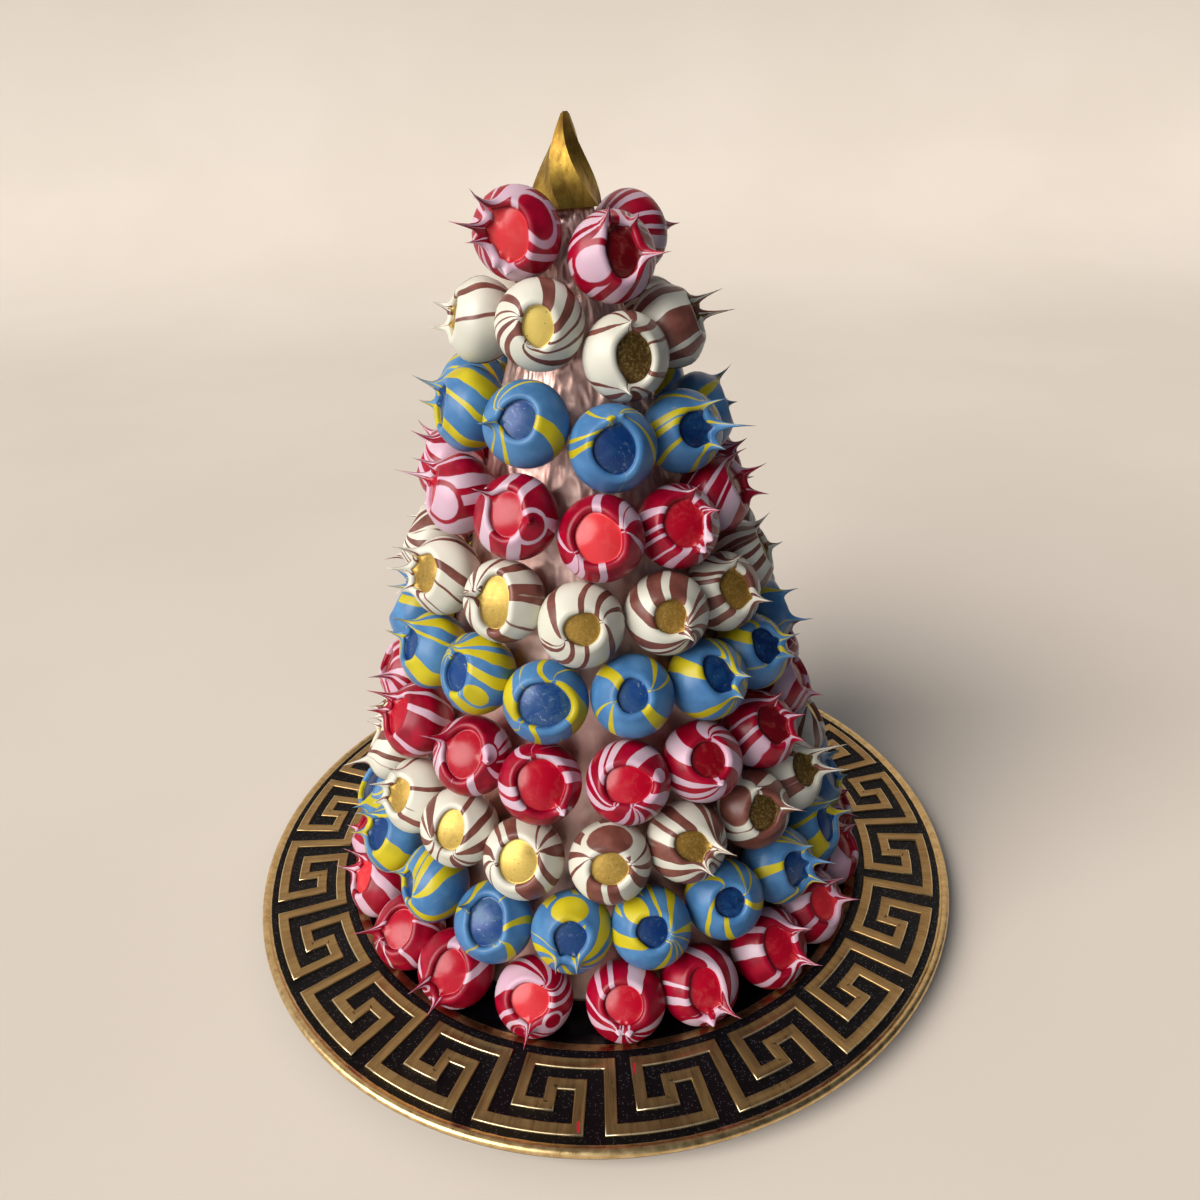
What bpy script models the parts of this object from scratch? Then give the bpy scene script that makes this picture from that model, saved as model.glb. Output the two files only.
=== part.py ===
"""A cone of filled chocolate bonbons on a round charger plate.

Ten rings of bonbons, red, brown and blue in turn, stand round a foil-wrapped cone with a twisted
gold tip. Neighbours that touch are stuck together in short runs, and each run is one solid. Lengths
are metres, angles degrees. Heights in the ring table are measured from the plate's rim.
"""

import math
import random
from itertools import islice

import bmesh
import bpy
import numpy as np
from mathutils import Vector
from mathutils.geometry import tessellate_polygon

# Charger plate
PLATE_RADIUS = 0.165
RIM_HEIGHT = 0.012
RIM_ROLL = 0.0019
ROLL_STEPS = 4
GROUND_DROP = 0.0010
SHEET = 0.0030
WELL_DEPTH = 0.0053
WELL_FLAT_RADIUS = 0.1130
WELL_BEND_RADIUS = 0.1170
WELL_BEND_RISE = 0.0012
WALL_TOP_RADIUS = 0.1240
FOOT_RADIUS = 0.102
FOOT_WIDTH = 0.006
FOOT_DRAFT = 0.001
PLATE_SIDES = 48

# Greek key: a raised band that turns through cells between two circles, once round for each unit
KEY_UNITS = 20
KEY_OUTER = 0.1579
KEY_INNER = 0.1269
KEY_BAND = 0.0046
KEY_RISE = 0.0008
KEY_START = 161.3
KEY_ROWS = 3
KEY_CELLS = 4
KEY_PATH = ((0, 3), (0, 0), (1.5, 0), (3, 0), (3, 2), (2, 2), (2, 1), (1, 1), (1, 3))

# Foil cone and gold tip, whose axis leans a little to -X
CORE_AT_RIM = 0.0966
CORE_TAPER = 0.296
CORE_SIDES = 24
CORE_GAP = 0.0004
LEAN = -0.012
TIP_BASE = 0.2925
TIP_HEIGHT = 0.030
TIP_RADIUS = 0.0145
TIP_POINT = 0.0012
TIP_FLUTES = 6
TIP_GROOVE = 0.84
TIP_START = 24
TIP_TWIST = -78
TIP_SWAY = 0.0019
TIP_LEVELS = 4

# Bonbons: a ball with a window, a raised lip round it and spikes pulled from the lip
TOP_BONBON_RADIUS = 0.0156
BOTTOM_BONBON_RADIUS = 0.0160
BONBON_SPREAD = 0.0002
FUSE = 0.0012
CLEARANCE = 0.0004
SETTLE_STEPS = 400
SETTLE_RATE = 0.25
SIDES = 8
FRONT_DEPTH = 0.68
FLOOR_DEPTH = 0.80
FLOOR_EDGE = 0.9
LIP_RISE = 1.05
LIP_WIDTH = 8
WAISTS = ((70, 0.5), (106, 0.0))
BACK_REACH = 0.97
SPIKE_OUT, SPIKE_ALONG, SPIKE_SPREAD = 0.55, 0.45, 0.45
TOP_LIFT = 10
LIFT_STEP = 3.3
SEED = 7

# Rings from the top: colour, height, slope along X, runs of touching bonbons
RINGS = (
    ("red", 0.2818, -0.200, (1, 1, 1, 1)),
    ("brown", 0.2527, -0.160, (1, 2, 2, 2)),
    ("blue", 0.2218, -0.137, (2, 1, 2, 4)),
    ("red", 0.1906, -0.114, (1, 1, 3, 3, 3)),
    ("brown", 0.1606, -0.085, (1, 2, 3, 4, 3)),
    ("blue", 0.1309, -0.062, (3, 1, 2, 3, 3, 3)),
    ("red", 0.0998, -0.045, (1, 2, 2, 1, 5, 5)),
    ("brown", 0.0702, -0.010, (3, 2, 2, 4, 4, 3)),
    ("blue", 0.0410, 0.010, (1, 1, 1, 2, 1, 2, 4, 4, 4)),
    ("red", 0.0109, 0.000, (1, 2, 1, 2, 2, 4, 5, 4)),
)

# Hand-made differences on the +X, -X and -Y sides, ring by ring from the top: the bonbon's azimuth,
# how many mm it sits above the ring's plane, the window's turn and lift, its half width and half
# height as shares of the ball's radius, and its spikes as (angle round the window, length in mm)
LOOKS = (
    (
        (-126, 1, 25, 5, 0.46, 0.60, ((125, 9), (165, 9), (190, 5))),
        (-60, -1, -10, 18, 0.40, 0.62, ((110, 8), (-10, 8), (60, 4))),
        (37, 3.5, 10, 10, 0.45, 0.50, ((30, 6), (-20, 12), (180, 5))),
        (100, 0, 0, 12, 0.45, 0.52, ((60, 7), (150, 5))),
    ),
    (
        (-222, -16, -5, 15, 0.45, 0.50, ((150, 5),)),
        (-146, -0.5, -10, 15, 0.45, 0.50, ((170, 6), (215, 6))),
        (-107, 2.5, 15, 10, 0.37, 0.50, ()),
        (-63, -2.5, -10, 10, 0.47, 0.56, ((95, 3), (250, 3))),
        (-28, 3.5, 10, 25, 0.45, 0.50, ((20, 9), (-15, 11))),
    ),
    (
        (-150, -0.5, -10, 15, 0.45, 0.50, ((150, 8), (190, 5))),
        (-112, 1.5, 10, 28, 0.42, 0.50, ((190, 5),)),
        (-76, -1.5, -10, 15, 0.50, 0.63, ((75, 2),)),
        (-38, 0, -30, 20, 0.40, 0.47, ((55, 7), (0, 11), (-45, 5))),
        (-4, 0, 0, 20, 0.45, 0.50, ((60, 6), (-20, 4))),
    ),
    (
        (-148, -0.5, -15, 20, 0.45, 0.50, ((170, 10), (130, 7))),
        (-115, 0, 5, 30, 0.45, 0.57, ((140, 6), (-10, 4))),
        (-84, -2, -15, 25, 0.60, 0.62, ()),
        (-54, -0.5, -25, 27, 0.53, 0.60, ((70, 4), (20, 4))),
        (-24, 4.5, 0, 25, 0.45, 0.55, ((75, 6), (10, 7), (-40, 6))),
    ),
    (
        (-150, -2.5, 15, 25, 0.45, 0.55, ((140, 8), (185, 7), (230, 5))),
        (-118, 0, 10, 22, 0.42, 0.68, ((165, 5),)),
        (-93, -3.5, 7, 20, 0.44, 0.44, ()),
        (-65, -1, -20, 20, 0.43, 0.43, ((-50, 4),)),
        (-39, -1.5, -25, 28, 0.45, 0.55, ((80, 5), (-35, 5))),
        (-12, 2, 0, 25, 0.45, 0.50, ((70, 6), (-20, 5))),
    ),
    (
        (-150, -1, 0, 30, 0.40, 0.45, ((175, 6), (130, 7))),
        (-127, 1, -10, 26, 0.42, 0.50, ((120, 3),)),
        (-104, -2.5, 12, 25, 0.66, 0.58, ()),
        (-80, 0, -12, 33, 0.39, 0.45, ()),
        (-55, -0.5, -12, 42, 0.40, 0.50, ((-20, 4), (-65, 4))),
        (-31, 0, -25, 40, 0.45, 0.50, ((0, 5), (-45, 4))),
    ),
    (
        (-153, -3.5, 5, 33, 0.42, 0.55, ((150, 9), (195, 6))),
        (-126, 0, 15, 40, 0.50, 0.72, ((155, 7), (0, 5))),
        (-105, -4.5, 20, 32, 0.62, 0.68, ()),
        (-83, -2, -10, 33, 0.58, 0.50, ()),
        (-61, 0.5, -15, 40, 0.45, 0.50, ()),
        (-38, -3, -20, 42, 0.45, 0.55, ((60, 5), (0, 5), (-50, 4))),
    ),
    (
        (-148, -1, 15, 32, 0.40, 0.50, ((120, 5), (170, 6), (215, 4))),
        (-128, 0.5, 22, 32, 0.42, 0.55, ()),
        (-108, -3, 5, 32, 0.52, 0.58, ()),
        (-88, -2, -5, 27, 0.50, 0.42, ()),
        (-69, 0, -12, 32, 0.44, 0.42, ((-10, 10), (-65, 5))),
        (-47, -0.5, -22, 28, 0.42, 0.50, ((0, 7), (100, 4))),
        (-30, -1, -20, 38, 0.42, 0.50, ((25, 12), (-25, 10))),
    ),
    (
        (-156, -4, 15, 38, 0.42, 0.50, ((155, 6), (205, 5))),
        (-135, 0.5, -20, 20, 0.38, 0.40, ((180, 5),)),
        (-116, -1, 10, 42, 0.50, 0.62, ((150, 5),)),
        (-97, 0, 4, 32, 0.43, 0.43, ((240, 5), (285, 5))),
        (-79, -1, -8, 36, 0.42, 0.42, ()),
        (-61, 1.5, -20, 35, 0.40, 0.42, ()),
        (-43, 1, -12, 25, 0.40, 0.50, ((45, 4), (0, 9), (-45, 6))),
        (-26, -2, -10, 35, 0.42, 0.50, ((0, 8), (45, 6))),
    ),
    (
        (-159, 0, 10, 38, 0.42, 0.50, ((140, 7), (190, 7))),
        (-141, 0, 22, 50, 0.45, 0.60, ((200, 9),)),
        (-124, 0, 25, 38, 0.45, 0.65, ((205, 8), (250, 7))),
        (-106, 0, 5, 38, 0.53, 0.50, ((275, 7),)),
        (-87.5, 0, -10, 40, 0.52, 0.50, ()),
        (-70.5, 0, -10, 34, 0.45, 0.60, ((-45, 7),)),
        (-53, 0, -15, 42, 0.45, 0.60, ((30, 8), (-40, 8))),
        (-36, 0, -20, 40, 0.42, 0.50, ((45, 6), (-10, 7))),
    ),
)

# Colour, roughness, metallic
FINISHES = {
    "red": ((0.52, 0.02, 0.05, 1), 0.3, 0.0),
    "brown": ((0.60, 0.42, 0.32, 1), 0.35, 0.0),
    "blue": ((0.16, 0.36, 0.62, 1), 0.35, 0.0),
    "foil": ((0.42, 0.27, 0.23, 1), 0.35, 0.6),
    "gold": ((0.45, 0.30, 0.08, 1), 0.4, 0.9),
    "plate": ((0.03, 0.025, 0.02, 1), 0.25, 0.3),
}


def finish(name):
    """The named material, made on first use."""
    made = bpy.data.materials.get(name)
    if made:
        return made
    made = bpy.data.materials.new(name)
    made.use_nodes = True
    colour, roughness, metallic = FINISHES[name]
    shader = made.node_tree.nodes["Principled BSDF"]
    shader.inputs["Base Color"].default_value = colour
    shader.inputs["Roughness"].default_value = roughness
    shader.inputs["Metallic"].default_value = metallic
    made.diffuse_color = colour
    return made


def add_object(name, points, faces, finish_name, smooth=40):
    """A mesh object with its faces in triangles and pointing out, smooth up to an angle."""
    mesh = bpy.data.meshes.new(name)
    mesh.from_pydata([tuple(p) for p in points], [], faces)
    work = bmesh.new()
    work.from_mesh(mesh)
    bmesh.ops.triangulate(work, faces=work.faces)
    bmesh.ops.recalc_face_normals(work, faces=work.faces)
    work.to_mesh(mesh)
    work.free()
    mesh.materials.append(finish(finish_name))
    mesh.shade_smooth()
    mesh.set_sharp_from_angle(angle=math.radians(smooth))
    made = bpy.data.objects.new(name, mesh)
    bpy.context.scene.collection.objects.link(made)
    return made


def unite(base, others):
    """Joins closed objects that overlap into the base by one Boolean union."""
    group = bpy.data.collections.new("joined")
    bpy.context.scene.collection.children.link(group)
    for other in others:
        bpy.context.scene.collection.objects.unlink(other)
        group.objects.link(other)
    union = base.modifiers.new("union", "BOOLEAN")
    union.operation = "UNION"
    union.operand_type = "COLLECTION"
    union.collection = group
    union.solver = "EXACT"
    evaluated = base.evaluated_get(bpy.context.evaluated_depsgraph_get())
    joined = bpy.data.meshes.new_from_object(evaluated)
    base.modifiers.clear()
    base.data = joined
    for other in others:
        bpy.data.objects.remove(other)
    bpy.data.collections.remove(group)


def strip(first, second):
    """Quads between two loops of point numbers."""
    count = len(first)
    pairs = [(j, (j + 1) % count) for j in range(count)]
    return [(first[j], first[k], second[k], second[j]) for j, k in pairs]


def loft(rings):
    """Points, loops of point numbers and faces between rings of equal length, capped at both ends."""
    sides = len(rings[0])
    points = [p for ring in rings for p in ring]
    loops = [list(range(i * sides, (i + 1) * sides)) for i in range(len(rings))]
    faces = [face for a, b in zip(loops, loops[1:]) for face in strip(a, b)]
    return points, loops, faces + [tuple(loops[0]), tuple(loops[-1])]


# The plate


def plate_profile():
    """The plate's section as (radius, height) points from the well's middle over the rim to below."""
    floor = RIM_HEIGHT - WELL_DEPTH
    ground = RIM_HEIGHT - GROUND_DROP
    roll_radius, roll_height = PLATE_RADIUS - RIM_ROLL, RIM_HEIGHT - RIM_ROLL
    start = math.pi - math.asin((ground - roll_height) / RIM_ROLL)
    turns = np.linspace(start, -math.pi / 2, ROLL_STEPS + 1)
    roll = [(roll_radius + RIM_ROLL * math.cos(t), roll_height + RIM_ROLL * math.sin(t)) for t in turns]
    underside = floor - SHEET
    return [
        (WELL_FLAT_RADIUS, floor),
        (WELL_BEND_RADIUS, floor + WELL_BEND_RISE),
        (WALL_TOP_RADIUS, ground),
        *roll,
        (WALL_TOP_RADIUS, ground - SHEET),
        (WELL_FLAT_RADIUS, underside),
        (FOOT_RADIUS + FOOT_DRAFT, underside),
        (FOOT_RADIUS, 0),
        (FOOT_RADIUS - FOOT_WIDTH, 0),
        (FOOT_RADIUS - FOOT_WIDTH - FOOT_DRAFT, underside),
    ]


def polar(radius, angle, height):
    """A point by radius, angle in degrees and height."""
    turn = math.radians(angle)
    return (radius * math.cos(turn), radius * math.sin(turn), height)


def key_bend(before, corner, after):
    """Offset of the band's inner edge at a corner, in half bands along the round and the radius."""
    lead = (corner[0] - before[0], corner[1] - before[1])
    leave = (after[0] - corner[0], after[1] - corner[1])
    left = [np.array((-d[1], d[0])) / math.hypot(*d) for d in (lead, leave)]
    straight = float(np.dot(left[0], left[1])) > 0.5
    return left[0] if straight else left[0] + left[1]


def key_edges():
    """The Greek key's inner and outer edges, as loops of (radius, angle)."""
    row = (KEY_OUTER - KEY_INNER - KEY_BAND) / KEY_ROWS
    period = KEY_UNITS * KEY_CELLS
    stops = [(u + KEY_CELLS * k, v) for k in range(KEY_UNITS) for u, v in KEY_PATH]
    padded = [(stops[-1][0] - period, stops[-1][1]), *stops, (stops[0][0] + period, stops[0][1])]
    inner, outer = [], []
    for before, (u, v), after in zip(padded, stops, padded[2:]):
        bend = key_bend(before, (u, v), after) * KEY_BAND / 2
        for edge, side in ((inner, 1), (outer, -1)):
            radius = KEY_OUTER - KEY_BAND / 2 - row * v - side * bend[1]
            edge.append((radius, KEY_START + 360 * u / period + math.degrees(side * bend[0] / radius)))
    return inner, outer


def fill_between(points, outer, inner):
    """Triangles of the flat region between two loops of point numbers."""
    loops = [[Vector(points[i]) for i in loop] for loop in (outer, inner)]
    numbers = outer + inner
    return [tuple(numbers[i] for i in corners) for corners in tessellate_polygon(loops)]


def make_plate():
    """The charger: a turned sheet with a rolled rim and a foot, and the key raised on its flange."""
    angles = [360 * i / PLATE_SIDES for i in range(PLATE_SIDES)]
    points, loops, faces = loft([[polar(r, a, z) for a in angles] for r, z in plate_profile()])
    inside, outside = loops[2], loops[3]
    flange = set(strip(inside, outside))
    faces = [face for face in faces if face not in flange]
    edges = key_edges()
    ground = RIM_HEIGHT - GROUND_DROP
    key = []
    for height in (ground, ground + KEY_RISE):
        for edge in edges:
            key.append(list(range(len(points), len(points) + len(edge))))
            points += [polar(radius, angle, height) for radius, angle in edge]
    inner_low, outer_low, inner_high, outer_high = key
    faces += strip(inner_low, inner_high) + strip(inner_high, outer_high) + strip(outer_high, outer_low)
    faces += fill_between(points, outside, outer_low) + fill_between(points, inner_low, inside)
    add_object("charger_plate", points, faces, "plate")


# The core


def core_radius(height):
    """Radius of the foil cone at a height above the rim."""
    return CORE_AT_RIM - CORE_TAPER * height


def make_core():
    """The foil cone, a leaning frustum that stands in the well."""
    rings = []
    angles = [360 * i / CORE_SIDES for i in range(CORE_SIDES)]
    for height in (-WELL_DEPTH + CORE_GAP, TIP_BASE - CORE_GAP):
        around = [polar(core_radius(height), a, height + RIM_HEIGHT) for a in angles]
        rings.append([(x + LEAN * height, y, z) for x, y, z in around])
    points, _, faces = loft(rings)
    add_object("foil_cone", points, faces, "foil")


def make_tip():
    """The gold tip, a fluted cone that twists as it narrows and sways to +X."""
    rings = []
    for level in range(TIP_LEVELS + 1):
        share = level / TIP_LEVELS
        radius = TIP_RADIUS * (1 - share) + TIP_POINT * share
        height = TIP_BASE + TIP_HEIGHT * share
        around = []
        for j in range(2 * TIP_FLUTES):
            reach = radius * (TIP_GROOVE if j % 2 else 1)
            angle = TIP_START + 180 * j / TIP_FLUTES + TIP_TWIST * share
            x, y, z = polar(reach, angle, height + RIM_HEIGHT)
            around.append((x + LEAN * height + TIP_SWAY * share, y, z))
        rings.append(around)
    points, _, faces = loft(rings)
    add_object("gold_tip", points, faces, "gold", smooth=20)


# Where the bonbons sit


def bonbon_radius(ring):
    """Nominal radius in a ring, counted from the top."""
    share = ring / (len(RINGS) - 1)
    return TOP_BONBON_RADIUS + (BOTTOM_BONBON_RADIUS - TOP_BONBON_RADIUS) * share


def place(turn, height, size):
    """Centres of bonbons that lean on the cone, and their distances from its axis."""
    reach = core_radius(height) + (size + CORE_GAP) * math.hypot(1, CORE_TAPER)
    centres = np.stack([reach * np.cos(turn) + LEAN * height, reach * np.sin(turn), height], 1)
    return centres, reach


def settle(ring, run, turn, height, size):
    """Slides the bonbons on the cone until those of a run touch and all others stand clear."""
    count = len(turn)
    same_run = run[:, None] == run[None, :]
    order = np.arange(count)
    touching = same_run & (abs(order[:, None] - order[None, :]) == 1)
    reach_sum = size[:, None] + size[None, :]
    slant = math.hypot(1, CORE_TAPER)
    lowest = ring == len(RINGS) - 1
    for _ in range(SETTLE_STEPS):
        height[lowest] = size[lowest] + CLEARANCE - WELL_DEPTH
        centres, reach = place(turn, height, size)
        apart = centres[:, None] - centres[None, :]
        distance = np.linalg.norm(apart, axis=2) + np.eye(count)
        short = np.maximum(0, reach_sum + CLEARANCE - distance) * ~same_run
        short = np.where(touching, reach_sum - FUSE - distance, short)
        push = (short[..., None] * apart / distance[..., None]).sum(1) * SETTLE_RATE
        around = np.stack([-np.sin(turn), np.cos(turn), 0 * turn], 1)
        inward = -CORE_TAPER * np.cos(turn), -CORE_TAPER * np.sin(turn)
        upward = np.stack([*inward, np.ones(count)], 1) / slant
        turn = turn + (push * around).sum(1) / reach
        height = height + (push * upward).sum(1) / slant
    return turn, height


def random_look(draw, ring):
    """A look for a bonbon that has none of its own: turn, lift, half width, half height, spikes."""
    spikes, angle = [], draw.uniform(0, 360)
    for _ in range(draw.choice((1, 2, 2))):
        spikes.append((angle, draw.uniform(3, 9)))
        angle += draw.uniform(70, 130)
    lift = TOP_LIFT + LIFT_STEP * ring + draw.uniform(-7, 7)
    return (draw.uniform(-14, 14), lift, draw.uniform(0.4, 0.56), draw.uniform(0.42, 0.6), spikes)


def ring_looks(draw, ring, count):
    """A ring's looks: the ones in its table, then random ones evenly over the rest of the ring."""
    looks = list(LOOKS[ring])
    start = looks[-1][0]
    rest = count - len(looks)
    step = (looks[0][0] + 360 - start) / (rest + 1)
    for i in range(rest):
        looks.append((start + step * (i + 1), 0, *random_look(draw, ring)))
    return looks


def lay_out():
    """Ring, run, azimuth, height and radius of every bonbon before they settle, and its look."""
    draw = random.Random(SEED)
    rows, looks, run = [], [], 0
    for ring, (_, height, slope, runs) in enumerate(RINGS):
        ball = bonbon_radius(ring)
        members = iter(ring_looks(draw, ring, sum(runs)))
        for count in runs:
            for azimuth, rise, *look in islice(members, count):
                turn = math.radians(azimuth)
                tilt = slope * (core_radius(height) + ball) * math.cos(turn)
                size = ball + draw.uniform(-BONBON_SPREAD, BONBON_SPREAD)
                rows.append((ring, run, turn, height + tilt + rise / 1000, size))
                looks.append(look)
            run += 1
    return [np.array(column) for column in zip(*rows)], looks


def arrange():
    """Every bonbon's ring, run, azimuth, centre, radius and look."""
    (ring, run, turn, height, size), looks = lay_out()
    turn, height = settle(ring, run, turn, height, size)
    centres = place(turn, height, size)[0] + (0, 0, RIM_HEIGHT)
    return ring, run, turn, centres, size, looks


def axes(turn, lift):
    """Outward, right and up directions of something that faces an azimuth and a lift."""
    flat = np.array((math.cos(turn), math.sin(turn), 0))
    right = np.array((-math.sin(turn), math.cos(turn), 0))
    up = np.array((0, 0, 1.0))
    tilt = math.radians(lift)
    return (
        math.cos(tilt) * flat + math.sin(tilt) * up,
        right,
        math.cos(tilt) * up - math.sin(tilt) * flat,
    )


def direction(frame, away, angle):
    """The direction at an angle away from a frame's outward one, towards an angle round it."""
    outward, right, up = frame
    side = math.cos(angle) * right + math.sin(angle) * up
    return math.cos(away) * outward + math.sin(away) * side


def flatten(points, outward):
    """Points of a unit ball, pressed flatter on the side of its window."""
    return points - (1 - FRONT_DEPTH) * np.maximum(points @ outward, 0)[..., None] * outward


def window_reach(angle, wide, tall):
    """How far the window's edge is from its middle, as an angle at the ball's centre."""
    return math.asin(1 / math.hypot(math.cos(angle) / wide, math.sin(angle) / tall))


def bonbon_rings(centre, size, turn, look, neighbours):
    """The bonbon's rings of points from the window's floor over the lip to the waist."""
    swing, lift, wide, tall, _ = look
    window = axes(turn + math.radians(swing), lift)
    angles = [2 * math.pi * j / SIDES for j in range(SIDES)]
    reaches = [window_reach(a, wide, tall) for a in angles]
    lip = math.radians(LIP_WIDTH)
    rings = [
        [FLOOR_DEPTH * direction(window, FLOOR_EDGE * w, a) for w, a in zip(reaches, angles)],
        [LIP_RISE * direction(window, w + lip, a) for w, a in zip(reaches, angles)],
    ]
    for away, share in WAISTS:
        frame = axes(turn + share * math.radians(swing), lift)
        rings.append([direction(frame, math.radians(away), a) for a in angles])
    points = [list(centre + size * flatten(np.array(ring), window[0])) for ring in rings]
    for other in neighbours:
        aim = (other - centre) / np.linalg.norm(other - centre)
        nearest = max(range(SIDES), key=lambda j: float(rings[-1][j] @ aim))
        points[-1][nearest] = centre + size * aim
    return points, window


def make_bonbon(name, colour, centre, size, turn, look, neighbours):
    """One bonbon as a closed solid with few sides."""
    rings, window = bonbon_rings(centre, size, turn, look, neighbours)
    points, loops, faces = loft(rings)
    faces = faces[:-2]
    body = axes(turn, look[1])
    floor = FRONT_DEPTH * FLOOR_DEPTH * window[0]
    for loop, middle in ((loops[0], floor), (loops[-1], -BACK_REACH * body[0])):
        faces += [(loop[j - 1], loop[j], len(points)) for j in range(SIDES)]
        points.append(centre + size * middle)
    flat = axes(turn, 0)[0]
    for angle, length in look[4]:
        j = int(math.radians(angle % 360) / (2 * math.pi) * SIDES) % SIDES
        k = (j + 1) % SIDES
        quad = (j, k, SIDES + k, SIDES + j)
        if quad not in faces:
            continue
        side = math.cos(math.radians(angle)) * window[1] + math.sin(math.radians(angle)) * window[2]
        way = SPIKE_OUT * flat + SPIKE_ALONG * window[0] + SPIKE_SPREAD * side
        crest = (points[SIDES + j] + points[SIDES + k]) / 2
        points.append(crest + way / np.linalg.norm(way) * length / 1000)
        faces.remove(quad)
        faces += [(quad[i], quad[(i + 1) % 4], len(points) - 1) for i in range(4)]
    return add_object(name, points, faces, colour)


def make_bonbons():
    """All the bonbons, each run united into one named solid."""
    ring, run, turn, centres, size, looks = arrange()
    for number in range(run.max() + 1):
        members = np.flatnonzero(run == number)
        row = ring[members[0]]
        colour = RINGS[row][0]
        place_in_ring = number - run[ring == row].min()
        name = f"row{row + 1:02d}_{colour}_bonbon{'s' * (len(members) > 1)}_{'abcdefghijk'[place_in_ring]}"
        made = []
        for i in members:
            beside = [centres[j] for j in (i - 1, i + 1) if j in members]
            made.append(make_bonbon(name, colour, centres[i], size[i], turn[i], looks[i], beside))
        if len(made) > 1:
            unite(made[0], made[1:])
        made[0].name = name


def main():
    """Clears the scene and builds the part."""
    for old in list(bpy.data.objects):
        bpy.data.objects.remove(old)
    make_plate()
    make_core()
    make_tip()
    make_bonbons()


main()
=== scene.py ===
"""Looks of the chocolate pyramid: marbled bonbons, crinkled foil, twisted gold tip and Greek key plate.

The bonbons' places, sizes and windows repeat the layout that the solids are made from. Each run of
bonbons is one piece. Lengths are metres, and angles in tables are degrees.
"""

import math
import random
from itertools import islice

import bpy
import numpy as np
from mathutils import Matrix, Vector, noise

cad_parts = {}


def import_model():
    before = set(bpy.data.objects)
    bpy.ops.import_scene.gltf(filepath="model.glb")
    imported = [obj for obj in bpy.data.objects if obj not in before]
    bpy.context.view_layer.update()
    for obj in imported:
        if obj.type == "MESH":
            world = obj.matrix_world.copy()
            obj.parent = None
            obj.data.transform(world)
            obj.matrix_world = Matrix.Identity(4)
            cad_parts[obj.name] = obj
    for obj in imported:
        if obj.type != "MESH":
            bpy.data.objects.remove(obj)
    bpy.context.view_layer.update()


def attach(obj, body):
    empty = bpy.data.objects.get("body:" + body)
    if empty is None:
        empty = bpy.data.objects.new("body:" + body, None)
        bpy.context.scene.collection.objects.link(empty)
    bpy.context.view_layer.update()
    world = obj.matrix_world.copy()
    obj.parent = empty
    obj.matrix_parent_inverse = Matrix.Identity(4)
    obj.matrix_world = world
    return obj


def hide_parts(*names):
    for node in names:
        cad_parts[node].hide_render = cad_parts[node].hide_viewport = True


# ---------------- the layout that the solids share

# Charger plate
PLATE_RADIUS = 0.165
RIM_HEIGHT = 0.012
RIM_ROLL = 0.0019
GROUND_DROP = 0.0010
SHEET = 0.0030
WELL_DEPTH = 0.0053
WELL_FLAT_RADIUS = 0.1130
WELL_BEND_RADIUS = 0.1170
WELL_BEND_RISE = 0.0012
WALL_TOP_RADIUS = 0.1240
FOOT_RADIUS = 0.102
FOOT_WIDTH = 0.006
FOOT_DRAFT = 0.001

# Greek key: a raised band that turns through cells between two circles, once round for each unit
KEY_UNITS = 20
KEY_OUTER = 0.1579
KEY_INNER = 0.1269
KEY_BAND = 0.0046
KEY_RISE = 0.0008
KEY_START = 161.3
KEY_ROWS = 3
KEY_CELLS = 4
KEY_PATH = ((0, 3), (0, 0), (3, 0), (3, 2), (2, 2), (2, 1), (1, 1), (1, 3))

# Foil cone and gold tip, whose axis leans a little to -X
CORE_AT_RIM = 0.0966
CORE_TAPER = 0.296
CORE_GAP = 0.0004
LEAN = -0.012
TIP_BASE = 0.2925
TIP_HEIGHT = 0.030
TIP_RADIUS = 0.0145
TIP_POINT = 0.0012
TIP_FLUTES = 6
TIP_START = 24
TIP_TWIST = -78
TIP_SWAY = 0.0019

# Bonbons
TOP_BONBON_RADIUS = 0.0156
BOTTOM_BONBON_RADIUS = 0.0160
BONBON_SPREAD = 0.0002
FUSE = 0.0012
CLEARANCE = 0.0004
SETTLE_STEPS = 400
SETTLE_RATE = 0.25
SPIKE_OUT, SPIKE_ALONG, SPIKE_SPREAD = 0.55, 0.45, 0.45
TOP_LIFT = 10
LIFT_STEP = 3.3
SEED = 7

# Rings from the top: colour, height above the rim, slope along X, runs of touching bonbons
RINGS = (
    ("red", 0.2818, -0.200, (1, 1, 1, 1)),
    ("brown", 0.2527, -0.160, (1, 2, 2, 2)),
    ("blue", 0.2218, -0.137, (2, 1, 2, 4)),
    ("red", 0.1906, -0.114, (1, 1, 3, 3, 3)),
    ("brown", 0.1606, -0.085, (1, 2, 3, 4, 3)),
    ("blue", 0.1309, -0.062, (3, 1, 2, 3, 3, 3)),
    ("red", 0.0998, -0.045, (1, 2, 2, 1, 5, 5)),
    ("brown", 0.0702, -0.010, (3, 2, 2, 4, 4, 3)),
    ("blue", 0.0410, 0.010, (1, 1, 1, 2, 1, 2, 4, 4, 4)),
    ("red", 0.0109, 0.000, (1, 2, 1, 2, 2, 4, 5, 4)),
)

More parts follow.
